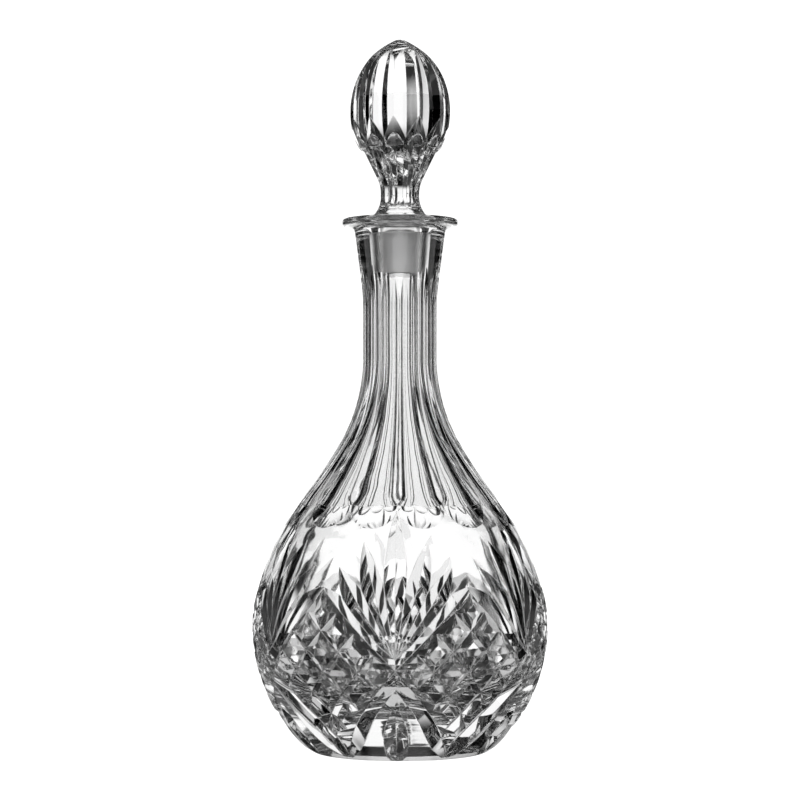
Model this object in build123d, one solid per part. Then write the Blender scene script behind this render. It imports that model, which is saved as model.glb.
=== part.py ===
from build123d import *
import math
import os

os.makedirs("parts", exist_ok=True)

# Cut crystal decanter: a bottle and its ground stopper. Millimetres, +Z up, standing on Z = 0.
# Angles go round the axis, from the front (-Y) towards +X.

# Bottle, outside
bottle_height = 242.5       # standing plane to the top of the lip
body_radius = 67.5          # the globe at its widest
widest_height = 57.0        # height of that widest circle
foot_radius = 41.0          # where the globe's curve meets the standing plane
heel_round = 2.0            # rounding between globe and standing plane
neck_radius = 17.1
neck_start = 181.0          # height where the shoulder has swept in to the neck
neck_length = 20.0          # straight stretch of the neck
flare_rise = 12.0           # the neck starts to open over this height
flare_step = 0.7            # and gains this much radius on the way
throat_radius = 20.8        # neck right under the lip
lip_radius = 26.5
lip_thickness = 3.3
lip_round = 1.4             # rounding of the lip's edge
lip_fillet_rise = 2.8       # hollow between neck and lip, up
lip_fillet_reach = 3.6      # and outwards

# The shoulder's sweep, from the widest circle to the start of the neck:
# (share of the radius that is still to lose, share of the height gained)
shoulder_form = [(0.96, 0.12), (0.488, 0.502), (0.198, 0.679)]

# Bottle, inside
base_thickness = 24.0
floor_radius = 22.0         # flat part of the inside floor
corner_wall = 9.0           # glass where the floor's curve meets the globe's
corner_height = 32.0
globe_wall = 5.5
shoulder_walls = [5.4, 5.0, 6.5]  # one for each point of the shoulder's sweep
neck_bore_radius = 8.0
mouth_radius = 13.6         # opening at the top of the lip
mouth_depth = 6.0           # depth of the trumpet that leads into the socket

# Ground joint between stopper and neck
ground_allowance = 0.15     # glass ground away at the plug's small end
ground_taper = 1 / 20       # radius gained per length
ground_clearance = 0.06     # radial, round the seated plug
plug_length = 19.0
socket_run_out = 2.0        # the ground socket goes on past the plug's end
plug_round = 0.5

# Stopper above the plug
collar_gap = 1.3            # between the stopper's collar and the mouth
collar_lift = 0.9           # underside of the collar above the lip
collar_edge = 1.0
waist_radius = 8.9
waist_low = 10.0            # heights over the lip, from here on
waist_high = 12.0
funnel = [(10.7, 19.0), (16.4, 30.7), (18.8, 32.5), (21.9, 39.3)]
head_radius = 23.3
head_widest = 49.5
head_crown = [(20.1, 64.5), (9.4, 78.0), (3.0, 81.9)]  # a round cap closes it
facet_count = 12
head_valley = 0.93          # valley radius as a share of the ridge radius
stem_valley = 0.90
facet_top = (11.3, 76.5)    # where the head's facets run out on the crown
facet_exit = 5.0            # a cutter goes on past the glass by this much
undercut = (2.4, 9.0)       # the head's valleys leave through its underside, inwards and down
stopper_turn = -7.3         # how far the stopper is turned in its socket

# Decoration of the globe, repeated round the axis: diamond panels with a fan between each two
panel_count = 6
fan_turn = -1.9             # the front fan stands this far round from the front
panel_foot = 1.5            # heights of a panel's lower, side and upper corners
panel_side = 41.0
panel_top = 77.0
border_width = 10.5
border_depth = 3.0
border_lead_in = 1.0        # depth at a border cut's lower end
border_run_out = 0.3        # and at its upper end
panel_cells = 4             # diamonds along each side of a panel
fine_width = 6.4
fine_depth = 2.1
fan_foot = 47.0
fan_tips = [(0.0, 109.0), (14.5, 97.0), (24.0, 86.0)]
fan_width = 10.5
fan_depth = 2.1
fan_lead_in = 0.5           # depth of a blade's cut at the fan's foot
fan_fullest = 0.6           # a blade is deepest this share of its length up
leaf_top = 24.0
leaf_middle = 11.0
leaf_foot = -2.0
leaf_width = 12.0
leaf_depth = 3.0
leaf_foot_depth = 1.2       # its depth at the heel

# Flutes of the neck and shoulder
flute_count = 14
flute_turn = -1.4           # the front land stands this far round from the front
flute_foot = 103.0
flute_full = 113.0          # the flutes have their full depth from here
flute_fade = 213.0          # to here
flute_top = 221.0
flute_scoop = 0.75          # share of the depth half way up the foot's run-in
flute_fading = 0.55         # and half way up the run-out at the top
flute_exit = -0.1           # both ends come out of the glass by this share
flute_hollow = 0.45         # depth under the chord between a flute's two edges
flute_hollow_share = 0.03   # and this share of the radius more
flute_land = 2.4            # degrees left uncut beside a flute, on each side
flute_stations = 6          # sections between the full depth's two ends

stand_out = 4.0             # how far cutters reach outside the glass
halvings = 40               # steps of the search for the outline's point at a height


def flat(radius, height):
    """A point of a profile, in the half plane X > 0, Y = 0."""
    return Vector(radius, 0, height)


def arc_chain(points, heading):
    """Arcs through the points, each leaving the last one smoothly."""
    arcs = []
    for start, end in zip(points, points[1:]):
        arcs.append(Edge.make_tangent_arc(start, heading, end))
        heading = arcs[-1] % 1
    return arcs


def polyline(points):
    """Straight edges through the points."""
    return [Edge.make_line(start, end) for start, end in zip(points, points[1:])]


def lathe(edges):
    """A full turn of the closed profile that the edges make."""
    return revolve(make_face(edges), Axis.Z, 360)


def around(piece, count, first_angle=0.0):
    """Copies of a piece round the axis."""
    return [Rot(0, 0, first_angle + 360 * step / count) * piece for step in range(count)]


# ---------------------------------------------------------------- the bottle's outline

widest = flat(body_radius, widest_height)
shoulder_points = [
    flat(
        neck_radius + share * (body_radius - neck_radius),
        widest_height + rise * (neck_start - widest_height),
    )
    for share, rise in shoulder_form
]
neck_end = neck_start + neck_length
lip_underside = bottle_height - lip_thickness
throat_height = lip_underside - lip_fillet_rise

globe_low = arc_chain([widest, flat(foot_radius, 0)], Vector(0, 0, -1))
shoulder = arc_chain([widest] + shoulder_points + [flat(neck_radius, neck_start)], Vector(0, 0, 1))
neck = polyline([flat(neck_radius, neck_start), flat(neck_radius, neck_end)])
flare = arc_chain(
    [
        flat(neck_radius, neck_end),
        flat(neck_radius + flare_step, neck_end + flare_rise),
        flat(throat_radius, throat_height),
    ],
    Vector(0, 0, 1),
)
outline = globe_low + shoulder + neck + flare


def outline_at(height):
    """The outline's point at a height, the outward normal there and the direction up the glass."""
    height = max(height, 0.0)
    for edge in outline:
        low, high = (0.0, 1.0) if (edge @ 0).Z < (edge @ 1).Z else (1.0, 0.0)
        if (edge @ low).Z <= height <= (edge @ high).Z:
            break
    for _ in range(halvings):
        middle = (low + high) / 2
        if (edge @ middle).Z < height:
            low = middle
        else:
            high = middle
    upwards = edge % low
    if upwards.Z < 0:
        upwards = -upwards
    return edge @ low, Vector(upwards.Z, 0, -upwards.X), upwards


def on_glass(angle, height, sunk):
    """A point sunk under the bottle's outside, and the outward normal there."""
    point, normal, _ = outline_at(height)
    point = point - normal * sunk + Vector(0, 0, min(height, 0.0))
    return point.rotate(Axis.Z, angle - 90), normal.rotate(Axis.Z, angle - 90)


def wheel_cut(start, middle, end, width, depth):
    """What a V-edged wheel takes away as it passes through three points, each (angle, height, sunk)."""
    first, _ = on_glass(*start)
    second, normal = on_glass(*middle)
    third, _ = on_glass(*end)
    back = first - second
    ahead = third - second
    pole = ahead.cross(back)
    centre = second + (pole.cross(ahead) * back.dot(back) - pole.cross(back) * ahead.dot(ahead)) * (
        0.5 / pole.dot(pole)
    )
    axis = Axis(centre, pole)
    along = pole.cross(second - centre).normalized()
    out = (normal - along * normal.dot(along)).normalized()
    across = along.cross(out)
    reach = depth + stand_out
    spread = reach * width / 2 / depth
    section = make_face(
        polyline(
            [
                second,
                second + out * reach + across * spread,
                second + out * reach - across * spread,
                second,
            ]
        )
    )
    lead = (first - centre).get_signed_angle(second - centre, pole)
    follow = (second - centre).get_signed_angle(third - centre, pole)
    return revolve(section.rotate(axis, -lead), axis, lead + follow)


# ---------------------------------------------------------------- cutters for the bottle

half_panel = 180 / panel_count


def between(start, end, share):
    """The (angle, height) a share of the way from one pair to another."""
    return tuple(low + share * (high - low) for low, high in zip(start, end))


def border_cut(side):
    """A long mitre cut, up past the fan's foot from one panel's lower corner to the next one's top."""
    return wheel_cut(
        (-side * half_panel, panel_foot, border_lead_in),
        (0, panel_side, border_depth),
        (side * half_panel, panel_top, border_run_out),
        border_width,
        border_depth,
    )


def fine_cut(side, share):
    """A small cut across the panel at half_panel, parallel to one pair of its borders."""
    lower = between((0, panel_foot), (-half_panel, panel_side), share)
    upper = between((half_panel, panel_side), (0, panel_top), share)
    middle = between(lower, upper, 0.5)
    return wheel_cut(
        (half_panel + side * lower[0], lower[1], fine_depth),
        (half_panel + side * middle[0], middle[1], fine_depth),
        (half_panel + side * upper[0], upper[1], fine_depth),
        fine_width,
        fine_depth,
    )


def fan_cut(angle, height):
    """A leaf-shaped cut from the fan's foot to one tip."""
    middle = between((0, fan_foot), (angle, height), fan_fullest)
    return wheel_cut(
        (0, fan_foot, fan_lead_in),
        (*middle, fan_depth),
        (angle, height, 0),
        fan_width,
        fan_depth,
    )


def leaf_cut():
    """The upright cut at the foot, under a fan."""
    return wheel_cut(
        (0, leaf_top, 0),
        (0, leaf_middle, leaf_depth),
        (0, leaf_foot, leaf_foot_depth),
        leaf_width,
        leaf_depth,
    )


def flute_section(height, fullness):
    """Section of a flute's cutter, square to the glass. The fullness is 1 at the full depth."""
    point, normal, upwards = outline_at(height)
    half_angle = math.radians(180 / flute_count - flute_land)
    half_width = point.X * math.sin(half_angle)
    hollow = flute_hollow + flute_hollow_share * point.X
    bow = (half_width**2 + hollow**2) / (2 * hollow)
    full_depth = point.X * (1 - math.cos(half_angle)) + hollow
    depth = full_depth * fullness
    rim = math.sqrt(bow**2 - half_width**2)
    plane = Plane(origin=point, x_dir=Vector(0, 1, 0), z_dir=upwards)
    out = -plane.y_dir if plane.y_dir.dot(normal) < 0 else plane.y_dir
    floor = point - normal * depth
    side = plane.x_dir * half_width
    shore = floor + out * (bow - rim)
    top = floor + out * (bow - rim + stand_out)
    edges = [Edge.make_three_point_arc(shore - side, floor, shore + side)]
    edges += polyline([shore + side, top + side, top - side, shore - side])
    return make_face(edges)


def flute_cutter():
    """A hollow flute up the shoulder and the neck, rounded out at both ends."""
    step = (flute_fade - flute_full) / flute_stations
    stations = [(flute_foot, flute_exit), ((flute_foot + flute_full) / 2, flute_scoop)]
    stations += [(flute_full + step * count, 1.0) for count in range(flute_stations + 1)]
    stations += [((flute_fade + flute_top) / 2, flute_fading), (flute_top, flute_exit)]
    cutter = loft([flute_section(*station) for station in stations])
    return Rot(0, 0, -90) * cutter


# ---------------------------------------------------------------- ground joint

plug_top = bottle_height - mouth_depth
plug_foot = plug_top - plug_length
plug_foot_radius = neck_bore_radius + ground_allowance
plug_top_radius = plug_foot_radius + plug_length * ground_taper
socket_foot = plug_foot - socket_run_out
socket_top_radius = plug_top_radius + ground_clearance
socket_foot_radius = plug_foot_radius - socket_run_out * ground_taper + ground_clearance


# ---------------------------------------------------------------- bottle

def bottle_blank():
    """The bottle's outside, before cutting."""
    lip = arc_chain([flare[-1] @ 1, flat(throat_radius + lip_fillet_reach, lip_underside)], flare[-1] % 1)
    rim = polyline(
        [
            lip[-1] @ 1,
            flat(lip_radius, lip_underside),
            flat(lip_radius, bottle_height),
            flat(0, bottle_height),
            flat(0, 0),
            flat(foot_radius, 0),
        ]
    )
    blank = lathe(globe_low + shoulder + neck + flare + lip + rim)
    circles = blank.edges().filter_by(GeomType.CIRCLE)
    blank = fillet([edge for edge in circles if math.isclose(edge.radius, lip_radius)], lip_round)
    heel = blank.edges().filter_by(GeomType.CIRCLE).sort_by(Axis.Z)[0]
    return fillet(heel, heel_round)


def cavity():
    """The hollow inside: globe, neck bore, ground socket and trumpet mouth."""
    corner, normal, _ = outline_at(corner_height)
    inner = [flat(body_radius - globe_wall, widest_height)]
    for point, wall in zip(shoulder_points, shoulder_walls):
        _, outward, _ = outline_at(point.Z)
        inner.append(point - outward * wall)
    inner.append(flat(neck_bore_radius, neck_start))
    floor = arc_chain([flat(floor_radius, base_thickness), corner - normal * corner_wall], Vector(1, 0, 0))
    floor += arc_chain([floor[-1] @ 1, inner[0]], floor[-1] % 1)
    wall = arc_chain(inner, Vector(0, 0, 1))
    bore = polyline(
        [
            inner[-1],
            flat(neck_bore_radius, socket_foot),
            flat(socket_foot_radius, socket_foot),
            flat(socket_top_radius, plug_top),
        ]
    )
    mouth = arc_chain([bore[-1] @ 1, flat(mouth_radius, bottle_height)], bore[-1] % 1)
    top = polyline(
        [
            mouth[-1] @ 1,
            flat(mouth_radius, bottle_height + stand_out),
            flat(0, bottle_height + stand_out),
            flat(0, base_thickness),
            floor[0] @ 0,
        ]
    )
    return lathe(floor + wall + bore + mouth + top)


def decanter():
    """The bottle, cut and hollow."""
    bottle = bottle_blank() - around(flute_cutter(), flute_count, flute_turn + 180 / flute_count)
    for side in (-1, 1):
        bottle -= around(border_cut(side), panel_count, fan_turn)
        for angle, height in fan_tips[1:]:
            bottle -= around(fan_cut(side * angle, height), panel_count, fan_turn)
        for cell in range(1, panel_cells):
            bottle -= around(fine_cut(side, cell / panel_cells), panel_count, fan_turn)
    bottle -= around(fan_cut(*fan_tips[0]), panel_count, fan_turn)
    bottle -= around(leaf_cut(), panel_count, fan_turn)
    return bottle - cavity()


# ---------------------------------------------------------------- stopper

def over_lip(radius, height):
    """A profile point at a height over the lip."""
    return flat(radius, bottle_height + height)


def facet_cutters(edges, valley, first_angle):
    """V cuts along a meridian path, so wide that neighbours meet in a ridge on the outline."""
    half_angle = math.radians(180 / facet_count)
    half_width = stand_out * math.sin(half_angle) / (math.cos(half_angle) - valley)
    path = Wire(edges)
    along = path % 0
    out = Vector(along.Z, 0, -along.X) * math.copysign(stand_out, along.Z)
    side = Vector(0, half_width, 0)
    start = path @ 0
    section = make_face(polyline([start, start + out + side, start + out - side, start]))
    return around(sweep(section, path), facet_count, first_angle)


def head_facets():
    """Cuts up the head, from its underside to the smooth crown."""
    low = over_lip(funnel[-1][0] * head_valley, funnel[-1][1])
    wide = over_lip(head_radius * head_valley, head_widest)
    high = over_lip(head_crown[0][0] * head_valley, head_crown[0][1])
    belly = arc_chain([wide, low, low - flat(*undercut)], Vector(0, 0, -1))
    crown = arc_chain([wide, high, over_lip(*facet_top)], Vector(0, 0, 1))
    leave = crown[-1] % 1 * facet_exit
    return facet_cutters(
        belly + crown + polyline([crown[-1] @ 1, (crown[-1] @ 1) + leave]),
        head_valley,
        180 / facet_count,
    )


def stem_facets():
    """Cuts up the stem and the funnel, with their ridges under the head's valleys."""
    waist = over_lip(waist_radius * stem_valley, (waist_low + waist_high) / 2)
    foot = over_lip(mouth_radius - collar_gap, collar_lift + collar_edge)
    top = over_lip(funnel[-1][0] * stem_valley, funnel[-1][1])
    bottom = arc_chain([waist, foot], Vector(0, 0, -1))
    narrow = over_lip(funnel[0][0] * stem_valley, funnel[0][1])
    rise = arc_chain([waist, narrow, top], Vector(0, 0, 1))
    leave = (rise[-1] % 1) * facet_exit * 2
    return facet_cutters(
        bottom + rise + polyline([top, top + leave]),
        stem_valley,
        0,
    )


def stopper_blank():
    """Plug, collar, waisted stem, funnel and egg-shaped head, before cutting."""
    collar_radius = mouth_radius - collar_gap
    under_collar = arc_chain(
        [flat(plug_top_radius, plug_top + collar_gap), over_lip(collar_radius, collar_lift)],
        Vector(0, 0, 1),
    )
    stem_low = arc_chain(
        [over_lip(waist_radius, waist_low), over_lip(collar_radius, collar_lift + collar_edge)],
        Vector(0, 0, -1),
    )
    stem = polyline([over_lip(waist_radius, waist_low), over_lip(waist_radius, waist_high)])
    stem += arc_chain([over_lip(waist_radius, waist_high), over_lip(*funnel[0])], Vector(0, 0, 1))
    funnel_wall = polyline([over_lip(*point) for point in funnel])
    belly = arc_chain([over_lip(head_radius, head_widest), over_lip(*funnel[-1])], Vector(0, 0, -1))
    crown_points = [over_lip(head_radius, head_widest)] + [over_lip(*point) for point in head_crown]
    crown = arc_chain(crown_points, Vector(0, 0, 1))
    cap_foot, heading = crown[-1] @ 1, crown[-1] % 1
    cap_radius = cap_foot.X / heading.Z
    tip = flat(0, cap_foot.Z + cap_radius * (1 + heading.X))
    crown.append(Edge.make_tangent_arc(cap_foot, heading, tip))
    plug = polyline(
        [
            tip,
            flat(0, plug_foot),
            flat(plug_foot_radius, plug_foot),
            flat(plug_top_radius, plug_top),
            flat(plug_top_radius, plug_top + collar_gap),
        ]
    )
    edge = polyline([over_lip(collar_radius, collar_lift), over_lip(collar_radius, collar_lift + collar_edge)])
    blank = lathe(under_collar + edge + stem_low + stem + funnel_wall + belly + crown + plug)
    plug_end = blank.edges().filter_by(GeomType.CIRCLE).sort_by(Axis.Z)[0]
    return fillet(plug_end, plug_round)


def stopper():
    """The stopper, cut, and turned in its socket."""
    return Rot(0, 0, stopper_turn) * (stopper_blank() - head_facets() - stem_facets())


export_step(decanter(), "parts/decanter.step")
export_step(stopper(), "parts/stopper.step")
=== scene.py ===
import math

import bmesh
import bpy
from mathutils import Matrix, Vector


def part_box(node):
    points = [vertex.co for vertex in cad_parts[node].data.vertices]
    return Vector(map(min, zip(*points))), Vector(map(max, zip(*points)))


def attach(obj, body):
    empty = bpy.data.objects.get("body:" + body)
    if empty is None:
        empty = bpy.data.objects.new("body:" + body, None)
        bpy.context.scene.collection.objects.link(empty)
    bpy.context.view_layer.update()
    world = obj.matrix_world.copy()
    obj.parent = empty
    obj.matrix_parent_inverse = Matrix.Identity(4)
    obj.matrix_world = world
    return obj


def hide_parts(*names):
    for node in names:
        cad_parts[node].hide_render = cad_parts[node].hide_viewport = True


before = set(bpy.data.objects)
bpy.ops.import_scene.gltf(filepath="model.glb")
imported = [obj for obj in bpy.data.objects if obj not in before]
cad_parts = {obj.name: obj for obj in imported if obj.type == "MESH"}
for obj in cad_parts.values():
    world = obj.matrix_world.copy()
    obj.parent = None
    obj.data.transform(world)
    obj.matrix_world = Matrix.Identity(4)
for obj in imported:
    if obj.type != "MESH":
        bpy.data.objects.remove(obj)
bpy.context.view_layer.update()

# The glass is drawn and cut in millimetres, like a cutter's pattern, and becomes metres when it is finished.
# Angles go round the axis from the front (-Y) towards +X, in degrees.
MM = 0.001
bottle_low, bottle_high = [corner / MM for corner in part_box("decanter")]
stopper_low, stopper_high = [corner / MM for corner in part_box("stopper")]

# ------------------------------------------------------------------ sizes of the bottle
lip_top = bottle_high.z
globe_radius = (bottle_high.x - bottle_low.x) / 2
globe_waist = 57.0              # height of the globe's widest circle
foot_radius = 41.0              # where the globe's curve meets the foot
neck_radius = 17.1
neck_foot = 181.0
neck_top = 201.0
throat_radius = 20.8            # neck right under the lip
lip_radius = 26.5
lip_thickness = 3.3
base_thickness = 24.0
bore_radius = 8.0
bore_length = 32.0              # straight bore above the shoulder's end
mouth_radius = 13.6
flare_rise = 12.0               # the neck opens slowly over this height
flare_step = 0.7                # and gains this much radius on the way
lip_fillet_rise = 2.8           # hollow between neck and lip, up
lip_fillet_reach = 3.6          # and outwards
lip_round = 1.5                 # rounding of the lip's lower edge
brim_round = 1.2                # and of its upper edge
mouth_round = 0.8               # rounding where the lip's top meets the mouth

# The shoulder's sweep: (share of the radius still to lose, share of the height gained, glass there)
SHOULDER = [(0.96, 0.12, 5.4), (0.488, 0.502, 5.0), (0.198, 0.679, 6.5)]
globe_wall = 5.5
corner_height = 32.0            # where the inside floor's curve meets the globe's
corner_wall = 9.0
floor_radius = 22.0             # flat part of the inside floor

# ------------------------------------------------------------------ ground joint and stopper
mouth_depth = 6.0
ground_clearance = 0.06
ground_allowance = 0.15         # glass ground away at the plug's small end
taper_length = 20               # the plug gains 1 mm of radius over this
socket_run_out = 2              # the ground socket goes on past the plug's end
plug_foot = stopper_low.z
plug_top = lip_top - mouth_depth
plug_foot_radius = bore_radius + ground_allowance
plug_top_radius = plug_foot_radius + (plug_top - plug_foot) / taper_length
collar_radius = 12.3
collar_gap = 1.3                # the plug goes straight up this far above the socket
collar_top = 1.9                # height of the collar's upper edge over the lip
stem_radius = 8.9
stem_low, stem_high = 10, 12    # the stem's narrowest stretch, over the lip
head_radius = (stopper_high.x - stopper_low.x) / 2
stopper_turn = -7.3             # how far the stopper is turned in its socket

FLAGS = 4                       # black flags round the tent, between as many white panels
TURNS = 252                     # divisions of a turned surface, shared by 6, 12 and 14 repeats

# ------------------------------------------------------------------ drawing profiles


def arc_from(start, heading, end, step):
    """Points after the start on the arc that leaves it along the heading, and the heading at its end."""
    reach, rise = end[0] - start[0], end[1] - start[1]
    chord = math.hypot(reach, rise)
    chord_angle = math.atan2(rise, reach)
    bend = chord_angle - math.atan2(heading[1], heading[0])
    bend = (bend + math.pi) % (2 * math.pi) - math.pi
    straight = abs(bend) < 1e-6
    length = chord if straight else chord * bend / math.sin(bend)
    count = max(1, round(length / step))
    points = []
    for index in range(1, count + 1):
        share = index / count
        part = share * bend
        reached = chord * share if straight else chord * math.sin(part) / math.sin(bend)
        angle = chord_angle - bend + part
        points.append((start[0] + reached * math.cos(angle), start[1] + reached * math.sin(angle)))
    leaving = chord_angle + bend
    return points, (math.cos(leaving), math.sin(leaving))


def smooth_line(points, heading, step):
    """A profile of arcs through the points, without a kink, and its heading at the end."""
    line = [points[0]]
    for start, end in zip(points, points[1:]):
        more, heading = arc_from(start, heading, end, step)
        line += more
    return line, heading


def share_of_neck(share, rise):
    """A point of the shoulder: the share of the radius still to lose, and of the height gained."""
    return neck_radius + share * (globe_radius - neck_radius), globe_waist + rise * (neck_foot - globe_waist)


def outer_profile(step):
    """The bottle's outside from the heel to the throat."""
    low, _ = smooth_line([(globe_radius, globe_waist), (foot_radius, 0)], (0, -1), step)
    shoulder_points = [(globe_radius, globe_waist)]
    shoulder_points += [share_of_neck(share, rise) for share, rise, _ in SHOULDER]
    shoulder_points.append((neck_radius, neck_foot))
    shoulder, _ = smooth_line(shoulder_points, (0, 1), step)
    neck_points = [
        (neck_radius, neck_foot),
        (neck_radius, neck_top),
        (neck_radius + flare_step, neck_top + flare_rise),
        (throat_radius, lip_top - lip_thickness - lip_fillet_rise),
    ]
    neck, leaving = smooth_line(neck_points, (0, 1), step)
    return low[::-1] + shoulder[1:] + neck[1:], leaving


OUTLINE, _ = outer_profile(0.5)


def outline_at(height):
    """Radius of the outline at a height, and the outward normal there as (radial, up)."""
    height = min(max(height, OUTLINE[0][1]), OUTLINE[-1][1] - 0.01)
    index = next(i for i, point in enumerate(OUTLINE) if point[1] > height) - 1
    (low_r, low_z), (high_r, high_z) = OUTLINE[index], OUTLINE[index + 1]
    share = (height - low_z) / (high_z - low_z)
    before, after = OUTLINE[max(index - 1, 0)], OUTLINE[min(index + 2, len(OUTLINE) - 1)]
    slope = Vector((after[0] - before[0], after[1] - before[1])).normalized()
    return low_r + share * (high_r - low_r), Vector((slope.y, -slope.x))


def on_glass(angle, height, depth=0.0):
    """A point at a depth under the bottle's outside, and the outward normal there."""
    radius, normal = outline_at(height)
    turn = math.radians(angle - 90)
    ahead = Vector((math.cos(turn), math.sin(turn), 0))
    outward = ahead * normal.x + Vector((0, 0, normal.y))
    return ahead * radius + Vector((0, 0, height)) - outward * depth, outward


# ------------------------------------------------------------------ mesh tools


def turned(profile):
    """The closed solid that a profile sweeps round the axis. It starts and ends on the axis."""
    solid = bmesh.new()
    rim = [solid.verts.new((radius, 0, height)) for radius, height in profile]
    edges = [solid.edges.new(pair) for pair in zip(rim, rim[1:])]
    bmesh.ops.spin(
        solid,
        geom=rim + edges,
        axis=(0, 0, 1),
        angle=2 * math.pi,
        steps=TURNS,
        use_merge=True,
    )
    bmesh.ops.remove_doubles(solid, verts=solid.verts, dist=1e-4)
    bmesh.ops.recalc_face_normals(solid, faces=solid.faces)
    return solid


def tube(sections):
    """A closed solid through sections that have the same number of points."""
    solid = bmesh.new()
    rows, columns = len(sections) - 1, len(sections[0])
    sheet = bmesh.ops.create_grid(solid, x_segments=columns, y_segments=rows, size=1.0)["verts"]
    for vert in sheet:
        column = round((vert.co.x + 1) / 2 * columns) % columns
        row = round((vert.co.y + 1) / 2 * rows)
        vert.co = sections[row][column]
    bmesh.ops.remove_doubles(solid, verts=solid.verts, dist=1e-5)
    bmesh.ops.holes_fill(solid, edges=[edge for edge in solid.edges if edge.is_boundary])
    bmesh.ops.recalc_face_normals(solid, faces=solid.faces)
    return solid


def around(solid, count, first_angle=0.0):
    """The solid repeated round the axis."""
    first = solid.verts[:] + solid.edges[:] + solid.faces[:]
    bmesh.ops.rotate(solid, verts=solid.verts, matrix=Matrix.Rotation(math.radians(first_angle), 3, "Z"))
    for index in range(1, count):
        copied = bmesh.ops.duplicate(solid, geom=first)["geom"]
        verts = [item for item in copied if isinstance(item, bmesh.types.BMVert)]
        bmesh.ops.rotate(solid, verts=verts, matrix=Matrix.Rotation(2 * math.pi * index / count, 3, "Z"))
    return solid


def as_object(solid, name):
    """A scene object with the solid as its mesh."""
    mesh = bpy.data.meshes.new(name)
    solid.to_mesh(mesh)
    solid.free()
    piece = bpy.data.objects.new(name, mesh)
    bpy.context.scene.collection.objects.link(piece)
    return piece


def cut(piece, cutters):
    """Takes each cutter's solid away from the piece, one after the other."""
    tools = [as_object(solid, f"wheel_{index}") for index, solid in enumerate(cutters)]
    for tool in tools:
        step = piece.modifiers.new(tool.name, "BOOLEAN")
        step.operation = "DIFFERENCE"
        step.solver = "MANIFOLD"
        step.object = tool
    finished = bpy.data.meshes.new_from_object(piece.evaluated_get(bpy.context.evaluated_depsgraph_get()))
    piece.modifiers.clear()
    piece.data = finished
    for tool in tools:
        bpy.data.objects.remove(tool)


# ------------------------------------------------------------------ wheels for the bottle
STAND_OUT = 2.5                 # how far a cutter reaches out of the glass


def v_cut(path, spread, depth_at, stations):
    """A V-shaped cut. path(share) gives (angle, height), spread is half the cut's width over its depth."""
    sections = []
    for index in range(stations + 1):
        share = index / stations
        depth = depth_at(share)
        place, normal = on_glass(*path(share))
        ahead, _ = on_glass(*path(share + 0.01))
        behind, _ = on_glass(*path(share - 0.01))
        across = (ahead - behind).cross(normal).normalized()
        over = place + normal * STAND_OUT
        half = (STAND_OUT + depth) * spread
        sections.append([place - normal * depth, over + across * half, over - across * half])
    return tube(sections)


def straight_path(start, end):
    """A path whose angle and height both change evenly, from one (angle, height) to another."""
    return lambda share: tuple(low + share * (high - low) for low, high in zip(start, end))


PANELS = 6
FAN_TURN = -1.9                 # the front fan stands this far round from the front
HALF_PANEL = 180 / PANELS
PANEL_FOOT = 1.5
PANEL_SIDE = 41.0
PANEL_TOP = 77.0
BORDER_WIDTH = 10.7
BORDER_DEPTH = 3.1
BORDER_SWELL = 0.3              # share by which a border is deeper near the foot
FINE_WIDTH = 6.7
FINE_DEPTH = 2.2
CELLS = 4                       # diamonds along a panel's side
FAN_FOOT = 46.5
FAN_WIDTH = 11.0
FAN_DEPTH = 2.3
FAN_FULL = 0.55                 # a blade narrows to its tip from this share of its length
FAN_TIPS = [(0.0, 111.0), (14.5, 97.5), (24.0, 86.5)]
LEAF_TOP = 24.5
LEAF_FOOT = -2.0
LEAF_WIDTH = 12.0
LEAF_DEPTH = 3.0


def border_cuts(side):
    """The long mitre cuts that rise from each panel's foot past a fan to the next panel's top."""
    def path(share):
        if share < 0.5:
            height = PANEL_FOOT + (PANEL_SIDE - PANEL_FOOT) * share * 2
        else:
            height = PANEL_SIDE + (PANEL_TOP - PANEL_SIDE) * (share * 2 - 1)
        return side * HALF_PANEL * (2 * share - 1), height

    def depth(share):
        swell = 1 + BORDER_SWELL * math.exp(-(((share - 0.16) / 0.1) ** 2))
        return BORDER_DEPTH * swell * min(1.0, (share + 0.05) / 0.12, (1.02 - share) / 0.1)

    return around(v_cut(path, BORDER_WIDTH / 2 / BORDER_DEPTH, depth, 64), PANELS, FAN_TURN)


def fine_cuts(side, share):
    """Small cuts across the panels, parallel to one pair of borders."""
    low = (HALF_PANEL - side * HALF_PANEL * share, PANEL_FOOT + (PANEL_SIDE - PANEL_FOOT) * share)
    high = (
        HALF_PANEL + side * HALF_PANEL * (1 - share),
        PANEL_SIDE + (PANEL_TOP - PANEL_SIDE) * share,
    )
    path = straight_path(low, high)
    return around(v_cut(path, FINE_WIDTH / 2 / FINE_DEPTH, lambda part: FINE_DEPTH, 36), PANELS, FAN_TURN)


def fan_cuts(angle, height):
    """One blade of every fan: it deepens quickly from the foot and narrows to a pointed tip."""
    path = straight_path((0, FAN_FOOT), (angle, height))

    def depth(share):
        along = max(share, 0.0)
        run_in = min(1.0, 0.22 + 4.3 * along)
        run_out = 1 - (max(0.0, along - FAN_FULL) / (1 - FAN_FULL)) ** 2
        return FAN_DEPTH * (run_in * run_out - 0.02)

    return around(v_cut(path, FAN_WIDTH / 2 / FAN_DEPTH, depth, 40), PANELS, FAN_TURN)


def leaf_cuts():
    """The upright cuts at the foot, one under each fan."""
    def depth(share):
        return LEAF_DEPTH * math.sin(math.pi * min(1.0, 0.03 + max(share, 0.0) * 0.86)) ** 0.7 - 0.1

    path = straight_path((0, LEAF_TOP), (0, LEAF_FOOT))
    return around(v_cut(path, LEAF_WIDTH / 2 / LEAF_DEPTH, depth, 36), PANELS, FAN_TURN)


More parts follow.
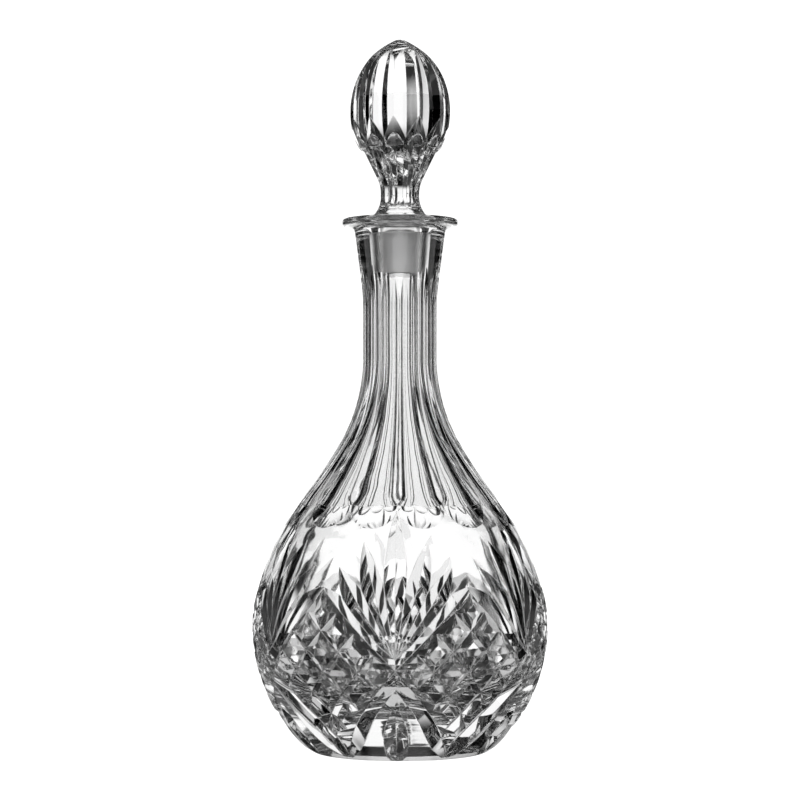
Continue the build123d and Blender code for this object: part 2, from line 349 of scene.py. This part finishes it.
FLUTES = 14
FLUTE_TURN = 180 / FLUTES - 1.4  # a land, not a hollow, faces the front
FLUTE_FOOT = 102.5
FLUTE_FULL = 113.0
FLUTE_FADE = 205.0
FLUTE_TOP = 222.0
FLUTE_DEPTH = 0.25
FLUTE_DEPTH_SHARE = 0.042       # share of the radius that a flute is deeper
LAND = 0.2                      # share of the pitch that stays uncut between two flutes
LAND_RISE = 3                   # the lands reach that width over this height


def flute_fullness(height):
    """How much of its depth a flute has: a foot that ends in an arc, and a slowly pointed top."""
    if height < FLUTE_FULL:
        left = 1 - (height - FLUTE_FOOT) / (FLUTE_FULL - FLUTE_FOOT)
        return 1 - left**2
    if height > FLUTE_FADE:
        return ((FLUTE_TOP - height) / (FLUTE_TOP - FLUTE_FADE)) ** 1.5
    return 1.0


def flute_section(height, fullness):
    """Section of a flute: a parabola at its foot, and above it a flat floor, curved walls and a land."""
    radius, _ = outline_at(height)
    land = LAND * min(1.0, max(0.0, (height - FLUTE_FULL) / LAND_RISE))
    half_angle = 180 / FLUTES * (1 - land)
    full_depth = FLUTE_DEPTH + FLUTE_DEPTH_SHARE * radius
    section = []
    steps = 18
    for index in range(steps + 1):
        side = 2 * index / steps - 1
        if height < FLUTE_FULL:
            shape = 1 - side**2
        else:
            shape = 1 - 0.35 * side**2 - 0.65 * abs(side) ** 5
        section.append(on_glass(side * half_angle, height, full_depth * (shape + fullness - 1))[0])
    section.append(on_glass(half_angle, height, -STAND_OUT)[0])
    section.append(on_glass(-half_angle, height, -STAND_OUT)[0])
    return section


def flute_cuts(first_angle):
    """Every second flute of the shoulder and neck."""
    heights = [FLUTE_FOOT + 0.5 * step for step in range(21)] + [FLUTE_FULL - 0.05]
    heights += [FLUTE_FULL + (FLUTE_FADE - FLUTE_FULL) * step / 46 for step in range(47)]
    heights += [FLUTE_FADE + (FLUTE_TOP - FLUTE_FADE) * step / 10 for step in range(1, 11)]
    heights = sorted(height for height in set(heights) if height <= FLUTE_TOP)
    sections = [flute_section(height, flute_fullness(height) - 0.01) for height in heights]
    return around(tube(sections), FLUTES // 2, first_angle)


RAYS = 24                       # of the star under the foot
RAY_START = 3
RAY_LENGTH = 31
RAY_DEPTH = 1.3
RAY_SPREAD = 1.9                # half of a ray's width over its depth


def star_cuts(first_angle):
    """Every second ray of the star under the foot."""
    sections = []
    stations = 12
    under = 1.0
    for index in range(stations + 1):
        share = index / stations
        reach = RAY_START + share * RAY_LENGTH
        depth = RAY_DEPTH * math.sin(math.pi * share) ** 0.7 - 0.05
        half = (depth + under) * RAY_SPREAD
        sections.append(
            [
                Vector((reach, 0, depth)),
                Vector((reach, half, -under)),
                Vector((reach, -half, -under)),
            ]
        )
    return around(tube(sections), RAYS // 2, first_angle)


# ------------------------------------------------------------------ bottle


def bottle_profile():
    """The whole section: foot, outside, lip, mouth, socket, bore and cavity."""
    heel = [(foot_radius * share, 0) for share in (0, 0.25, 0.5, 0.75, 0.93)]
    outside, leaving = outer_profile(1.9)
    outside = [point for point in outside if point[1] > 1.6]
    heel += [(foot_radius - 1.3, 0.12), (foot_radius - 0.2, 0.55)]
    under_lip = lip_top - lip_thickness
    lip, _ = smooth_line([outside[-1], (throat_radius + lip_fillet_reach, under_lip)], leaving, 0.6)
    rim, _ = smooth_line(
        [(lip_radius - lip_round, under_lip), (lip_radius, under_lip + lip_round)], (1, 0), 0.3
    )
    brim, _ = smooth_line(
        [(lip_radius, lip_top - brim_round), (lip_radius - brim_round, lip_top)], (0, 1), 0.3
    )
    mouth, _ = smooth_line(
        [(mouth_radius + mouth_round, lip_top), (mouth_radius - 0.4, lip_top - 0.5)], (-1, 0), 0.3
    )
    socket_top = (plug_top_radius + ground_clearance, plug_top)
    socket_foot = (plug_foot_radius + ground_clearance - 0.1, plug_foot - socket_run_out)
    trumpet, _ = smooth_line([socket_top, mouth[-1]], (0.05, 1), 0.6)
    inside = trumpet[::-1]
    inside += [tuple(Vector(socket_top).lerp(Vector(socket_foot), step / 8)) for step in range(1, 9)]
    inside.append((bore_radius, plug_foot - socket_run_out - 0.4))
    inside += cavity_profile(3.0)
    return heel + outside + lip[1:] + rim + brim + mouth + inside[1:]


def cavity_profile(step):
    """The inside wall, from the straight bore down to the middle of the floor."""
    points = [(globe_radius - globe_wall, globe_waist)]
    for share, rise, wall in SHOULDER:
        _, height = share_of_neck(share, rise)
        radius, normal = outline_at(height)
        points.append((radius - wall * normal.x, height - wall * normal.y))
    points += [(bore_radius, neck_foot), (bore_radius, neck_foot + bore_length)]
    wall, _ = smooth_line(points, (0, 1), step)
    radius, normal = outline_at(corner_height)
    corner = (radius - corner_wall * normal.x, corner_height - corner_wall * normal.y)
    bottom, _ = smooth_line([(floor_radius, base_thickness), corner, points[0]], (1, 0), step)
    return wall[::-1] + bottom[-2::-1] + [(floor_radius / 2, base_thickness), (0, base_thickness)]


def make_bottle():
    """The bottle, turned and then cut."""
    bottle = as_object(turned(bottle_profile()), "cut_crystal_bottle")
    cutters = [flute_cuts(FLUTE_TURN), flute_cuts(FLUTE_TURN + 360 / FLUTES)]
    for side in (-1, 1):
        cutters.append(border_cuts(side))
        cutters += [fine_cuts(side, cell / CELLS) for cell in range(1, CELLS)]
        cutters += [fan_cuts(side * angle, height) for angle, height in FAN_TIPS[1:]]
    cutters += [fan_cuts(*FAN_TIPS[0]), leaf_cuts(), star_cuts(0), star_cuts(360 / RAYS)]
    cut(bottle, cutters)
    return bottle


# ------------------------------------------------------------------ stopper


def over_lip(*points):
    """Profile points given as (radius, height over the lip)."""
    return [(radius, lip_top + height) for radius, height in points]


# Points as (radius, height over the lip)
HEAD_SHAPE = [(head_radius, 49.5), (20.1, 64.5), (9.4, 78.0), (3.0, 81.9)]
FUNNEL_SHAPE = [(10.7, 19.0), (16.4, 30.7), (18.8, 32.5), (21.9, 39.3)]
FACETS = 12
HEAD_VALLEY = 0.93              # valley radius as a share of the ridge radius
STEM_VALLEY = 0.9
FACET_TOP = (11.3, 76.5)        # where the head's facets run out on the crown
UNDERCUT = (2.4, 9)             # the head's valleys leave through its underside, inwards and down
HEAD_EXIT = 5                   # a cutter goes on past the crown by this much
STEM_EXIT = 9                   # and past the head's underside by this much


def stopper_profile():
    """The whole section: plug, collar, stem, funnel, egg-shaped head and its round cap."""
    under_collar, _ = smooth_line(
        [(plug_top_radius, plug_top + collar_gap)] + over_lip((collar_radius - 0.3, 0.8)), (0, 1), 0.6
    )
    waist = (stem_radius, stem_low)
    stem_foot, _ = smooth_line(over_lip(waist, (collar_radius, collar_top)), (0, -1), 0.9)
    stem, _ = smooth_line(over_lip(waist, (stem_radius, stem_high), FUNNEL_SHAPE[0]), (0, 1), 1.0)
    funnel = []
    for start, end in zip(FUNNEL_SHAPE, FUNNEL_SHAPE[1:]):
        line, _ = smooth_line(over_lip(start, end), (end[0] - start[0], end[1] - start[1]), 1.2)
        funnel += line[1:]
    belly, _ = smooth_line(over_lip(HEAD_SHAPE[0], FUNNEL_SHAPE[-1]), (0, -1), 1.2)
    crown, leaving = smooth_line(over_lip(*HEAD_SHAPE), (0, 1), 1.2)
    cap, _ = smooth_line([crown[-1], (0, stopper_high.z - 0.01)], leaving, 0.8)
    plug = [(0, plug_foot), (plug_foot_radius * 0.6, plug_foot), (plug_foot_radius - 0.5, plug_foot)]
    plug += [(plug_foot_radius - 0.13, plug_foot + 0.16), (plug_foot_radius + 0.02, plug_foot + 0.5)]
    plug_length = plug_top - plug_foot
    plug += [
        (plug_foot_radius + plug_length * step / (8 * taper_length), plug_foot + plug_length * step / 8)
        for step in range(1, 9)
    ]
    return plug + under_collar + stem_foot[::-1] + stem[1:] + funnel + belly[-2::-1] + crown[1:] + cap[1:]


def facet_cuts(valley, share, first_angle):
    """Every second V cut up the stopper, so wide that neighbours meet in a ridge on the outline."""
    half_angle = math.radians(180 / FACETS)
    spread = math.sin(half_angle) / (math.cos(half_angle) - share)
    sections = []
    for index, (radius, height) in enumerate(valley):
        before, after = valley[max(index - 1, 0)], valley[min(index + 1, len(valley) - 1)]
        slope = Vector((after[0] - before[0], after[1] - before[1])).normalized()
        out = 0.11 * max(radius, 6.0)
        over = (radius + slope.y * out, height - slope.x * out)
        sections.append(
            [
                Vector((radius, 0, height)),
                Vector((over[0], spread * out, over[1])),
                Vector((over[0], -spread * out, over[1])),
            ]
        )
    return around(tube(sections), FACETS // 2, first_angle)


def head_valley():
    """Line of a valley up the head: from its underside, along the egg, out at the smooth crown."""
    wide, high = [(radius * HEAD_VALLEY, height) for radius, height in HEAD_SHAPE[:2]]
    low = (FUNNEL_SHAPE[-1][0] * HEAD_VALLEY, FUNNEL_SHAPE[-1][1])
    belly, _ = smooth_line(over_lip(wide, low, (low[0] - UNDERCUT[0], low[1] - UNDERCUT[1])), (0, -1), 1.2)
    crown, leaving = smooth_line(over_lip(wide, high, FACET_TOP), (0, 1), 1.2)
    out = (crown[-1][0] + leaving[0] * HEAD_EXIT, crown[-1][1] + leaving[1] * HEAD_EXIT)
    return belly[::-1] + crown[1:] + [out]


def stem_valley():
    """Line of a valley up the stem and funnel, out through the head's underside."""
    waist = (stem_radius * STEM_VALLEY, (stem_low + stem_high) / 2)
    foot, _ = smooth_line(over_lip(waist, (collar_radius, collar_top)), (0, -1), 0.9)
    narrow = (FUNNEL_SHAPE[0][0] * STEM_VALLEY, FUNNEL_SHAPE[0][1])
    top = (FUNNEL_SHAPE[-1][0] * STEM_VALLEY, FUNNEL_SHAPE[-1][1])
    rise, leaving = smooth_line(over_lip(waist, narrow, top), (0, 1), 1.2)
    out = (rise[-1][0] + leaving[0] * STEM_EXIT, rise[-1][1] + leaving[1] * STEM_EXIT)
    return foot[::-1] + rise[1:] + [out]


def make_stopper():
    """The stopper, turned, cut and set in its socket."""
    stopper = as_object(turned(stopper_profile()), "faceted_stopper")
    cut(
        stopper,
        [
            facet_cuts(head_valley(), HEAD_VALLEY, 180 / FACETS),
            facet_cuts(head_valley(), HEAD_VALLEY, 540 / FACETS),
            facet_cuts(stem_valley(), STEM_VALLEY, 0),
            facet_cuts(stem_valley(), STEM_VALLEY, 360 / FACETS),
        ],
    )
    stopper.data.transform(Matrix.Rotation(math.radians(stopper_turn), 4, "Z"))
    return stopper


# ------------------------------------------------------------------ finishes


def glass_surface():
    """Node group for worked glass: slightly uneven polish, softly rounded edges and gentle ripples."""
    group = bpy.data.node_groups.new("glass_surface", "ShaderNodeTree")
    for label in ("Smoothest", "Roughest", "Ripple Scale", "Ripple Height"):
        group.interface.new_socket(label, in_out="INPUT", socket_type="NodeSocketFloat")
    group.interface.new_socket("Roughness", in_out="OUTPUT", socket_type="NodeSocketFloat")
    group.interface.new_socket("Normal", in_out="OUTPUT", socket_type="NodeSocketVector")
    nodes, links = group.nodes, group.links
    given = nodes.new("NodeGroupInput")
    made = nodes.new("NodeGroupOutput")
    coord = nodes.new("ShaderNodeTexCoord")
    cloud = nodes.new("ShaderNodeTexNoise")
    cloud.inputs["Scale"].default_value = 60.0
    cloud.inputs["Detail"].default_value = 3.0
    links.new(coord.outputs["Object"], cloud.inputs["Vector"])
    polish = nodes.new("ShaderNodeMapRange")
    polish.inputs["From Min"].default_value = 0.35
    polish.inputs["From Max"].default_value = 0.65
    links.new(given.outputs["Smoothest"], polish.inputs["To Min"])
    links.new(given.outputs["Roughest"], polish.inputs["To Max"])
    links.new(cloud.outputs["Fac"], polish.inputs["Value"])
    links.new(polish.outputs["Result"], made.inputs["Roughness"])
    rounding = nodes.new("ShaderNodeBevel")
    rounding.samples = 6
    rounding.inputs["Radius"].default_value = 0.5 * MM
    waves = nodes.new("ShaderNodeTexNoise")
    waves.inputs["Detail"].default_value = 1.0
    links.new(given.outputs["Ripple Scale"], waves.inputs["Scale"])
    links.new(coord.outputs["Object"], waves.inputs["Vector"])
    bump = nodes.new("ShaderNodeBump")
    bump.inputs["Strength"].default_value = 1.0
    links.new(given.outputs["Ripple Height"], bump.inputs["Distance"])
    links.new(waves.outputs["Fac"], bump.inputs["Height"])
    links.new(rounding.outputs["Normal"], bump.inputs["Normal"])
    links.new(bump.outputs["Normal"], made.inputs["Normal"])
    return group


def crystal(name, surface, tint, roughness, ripple_size, ripple):
    """Clear lead crystal with its tint, its lowest and highest roughness, and its ripples in millimetres."""
    material = bpy.data.materials.new(name)
    material.use_nodes = True
    nodes, links = material.node_tree.nodes, material.node_tree.links
    shader = nodes["Principled BSDF"]
    shader.inputs["Base Color"].default_value = (tint, tint, tint, 1)
    shader.inputs["Transmission Weight"].default_value = 1.0
    shader.inputs["IOR"].default_value = 1.54
    worked = nodes.new("ShaderNodeGroup")
    worked.node_tree = surface
    worked.inputs["Smoothest"].default_value, worked.inputs["Roughest"].default_value = roughness
    worked.inputs["Ripple Scale"].default_value = 1 / (ripple_size * MM)
    worked.inputs["Ripple Height"].default_value = ripple * MM
    links.new(worked.outputs["Roughness"], shader.inputs["Roughness"])
    links.new(worked.outputs["Normal"], shader.inputs["Normal"])
    return material


SHARP_ANGLE = 6                 # edges that turn by more than this stay crisp


def finish_glass(piece, finishes, finish_of):
    """Brings a cut piece to metres, with its finishes and crisp edges between its facets."""
    mesh = piece.data
    mesh.materials.clear()
    for finish in finishes:
        mesh.materials.append(finish)
    for face in mesh.polygons:
        face.material_index = finish_of(face)
        face.use_smooth = True
    mesh.set_sharp_from_angle(angle=math.radians(SHARP_ANGLE))
    mesh.transform(Matrix.Scale(MM, 4))


def bottle_finish(face):
    """Which finish a face of the bottle has: 0 polished, 1 ground, 2 the fire-polished inside."""
    centre = face.center
    radius = math.hypot(centre.x, centre.y)
    if plug_foot < centre.z < plug_top and radius < plug_top_radius + 0.3:
        return 1
    depth = outline_at(centre.z)[0] - radius
    outward = centre.x * face.normal.x + centre.y * face.normal.y
    between = base_thickness - 0.5 < centre.z < plug_foot - socket_run_out
    inside = between and outward <= 0.2 * radius and depth > 3.9
    return 2 if inside else 0


def stopper_finish(face):
    """Which finish a face of the stopper has: 0 polished, 1 ground."""
    return 1 if plug_foot + 0.3 < face.center.z < plug_top else 0


# ------------------------------------------------------------------ studio


def maths(nodes, links, operation, first, second=None):
    """A maths node between two values, each a socket or a number, and its output."""
    node = nodes.new("ShaderNodeMath")
    node.operation = operation
    for socket, value in zip(node.inputs, (first, second)):
        if value is None:
            continue
        if isinstance(value, (int, float)):
            socket.default_value = value
        else:
            links.new(value, socket)
    return node.outputs[0]


def ramp(nodes, links, value, stops):
    """Grey levels along a value, from (position, grey) stops."""
    node = nodes.new("ShaderNodeValToRGB")
    node.color_ramp.interpolation = "EASE"
    levels = node.color_ramp.elements
    while len(levels) < len(stops):
        levels.new(0.5)
    for level, (position, grey) in zip(levels, stops):
        level.position = position
        level.color = (grey, grey, grey, 1)
    links.new(value, node.inputs[0])
    return node.outputs[0]


def white_panels(nodes, links, direction):
    """How white the tent is along a direction: 1 in the middle of a panel, 0 on a flag."""
    split = nodes.new("ShaderNodeSeparateXYZ")
    links.new(direction, split.inputs[0])
    azimuth = maths(nodes, links, "ARCTAN2", split.outputs["X"], split.outputs["Y"])
    wave = maths(nodes, links, "COSINE", maths(nodes, links, "MULTIPLY", azimuth, FLAGS))
    return ramp(nodes, links, wave, [(0.0, 0.0), (0.4, 1.0)]), split.outputs["Z"]


def light_tent():
    """A white tent with black flags and a lamp above for the glass, plain white to the camera."""
    world = bpy.data.worlds.new("light_tent")
    bpy.context.scene.world = world
    world.use_nodes = True
    nodes, links = world.node_tree.nodes, world.node_tree.links
    nodes.clear()
    out = nodes.new("ShaderNodeOutputWorld")
    coord = nodes.new("ShaderNodeTexCoord")
    panels, rise = white_panels(nodes, links, coord.outputs["Generated"])
    height = maths(nodes, links, "MULTIPLY_ADD", rise, 0.5)
    height.node.inputs[2].default_value = 0.5
    rise = ramp(
        nodes,
        links,
        height,
        [(0.1, 0.35), (0.45, 1.0), (0.62, 1.0), (0.72, 0.02), (0.94, 0.02), (0.98, 0.6)],
    )
    light = maths(nodes, links, "MULTIPLY", panels, rise)
    tent = nodes.new("ShaderNodeBackground")
    links.new(light, tent.inputs["Color"])
    tent.inputs["Strength"].default_value = 0.88
    plain = nodes.new("ShaderNodeBackground")
    plain.inputs["Color"].default_value = (1, 1, 1, 1)
    path = nodes.new("ShaderNodeLightPath")
    both = nodes.new("ShaderNodeMixShader")
    links.new(path.outputs["Is Camera Ray"], both.inputs[0])
    links.new(tent.outputs[0], both.inputs[1])
    links.new(plain.outputs[0], both.inputs[2])
    links.new(both.outputs[0], out.inputs["Surface"])


def floor():
    """A white floor that the glass sees with the tent's panels and flag shadows painted into its glow, and
    painted shade near the bottle; the camera sees it nearly plain.
    """
    solid = bmesh.new()
    bmesh.ops.create_circle(
        solid, cap_ends=True, segments=96, radius=9.0, matrix=Matrix.Translation((0, 0, -0.0002))
    )
    piece = as_object(solid, "floor")
    paint = bpy.data.materials.new("white_floor")
    paint.use_nodes = True
    nodes, links = paint.node_tree.nodes, paint.node_tree.links
    shader = nodes["Principled BSDF"]
    shader.inputs["Base Color"].default_value = (0.4, 0.4, 0.4, 1)
    shader.inputs["Roughness"].default_value = 0.7
    place = nodes.new("ShaderNodeNewGeometry")
    away = nodes.new("ShaderNodeVectorMath")
    away.operation = "LENGTH"
    links.new(place.outputs["Position"], away.inputs[0])
    # painted shade: the floor's glow is half as bright near the bottle and full from 0.6 m out
    painted_shade_near_bottle = ramp(nodes, links, away.outputs["Value"], [(0.12, 0.5), (0.6, 1.0)])
    # painted light and shadow: the tent's white panels and the shadows of its black flags are painted into
    # the floor's glow
    panels, _ = white_panels(nodes, links, place.outputs["Position"])
    links.new(maths(nodes, links, "MULTIPLY", painted_shade_near_bottle, panels), shader.inputs["Emission Color"])
    shader.inputs["Emission Strength"].default_value = 1.0
    glow = nodes.new("ShaderNodeEmission")
    path = nodes.new("ShaderNodeLightPath")
    seen = nodes.new("ShaderNodeMixShader")
    share = maths(nodes, links, "MULTIPLY", path.outputs["Is Camera Ray"], 0.85)
    links.new(share, seen.inputs[0])
    links.new(shader.outputs[0], seen.inputs[1])
    links.new(glow.outputs[0], seen.inputs[2])
    glow.inputs["Strength"].default_value = 1.12
    links.new(seen.outputs[0], nodes["Material Output"].inputs["Surface"])
    piece.data.materials.append(paint)


def studio():
    """Tent, floor and the camera in front of the bottle."""
    light_tent()
    floor()
    camera = bpy.data.cameras.new("camera")
    camera.sensor_width = 36
    camera.lens = 105.4
    camera.clip_start = 0.01
    view = bpy.data.objects.new("camera", camera)
    view.location = (0, -1.072, 0.139)
    view.rotation_euler = (Vector((0, 0, 0.1597)) - view.location).to_track_quat("-Z", "Y").to_euler()
    bpy.context.scene.collection.objects.link(view)
    bpy.context.scene.camera = view
    bpy.context.scene.view_settings.view_transform = "Standard"
    bpy.context.scene.view_settings.look = "Medium High Contrast"
    bpy.context.scene.cycles.max_bounces = 32
    bpy.context.scene.cycles.transmission_bounces = 32
    bpy.context.scene.cycles.glossy_bounces = 12
    bpy.context.scene.cycles.use_denoising = True


surface = glass_surface()
polished = crystal("polished_crystal", surface, 0.98, (0.0, 0.02), 9.0, 0.02)
ground = crystal("ground_crystal", surface, 0.8, (0.3, 0.45), 0.4, 0.05)
blown = crystal("fire_polished_crystal", surface, 0.98, (0.03, 0.07), 12.0, 0.25)
bottle = make_bottle()
finish_glass(bottle, [polished, ground, blown], bottle_finish)
stopper = make_stopper()
finish_glass(stopper, [polished, ground], stopper_finish)

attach(bottle, "bottle")
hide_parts("decanter")
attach(stopper, "stopper")
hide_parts("stopper")
studio()
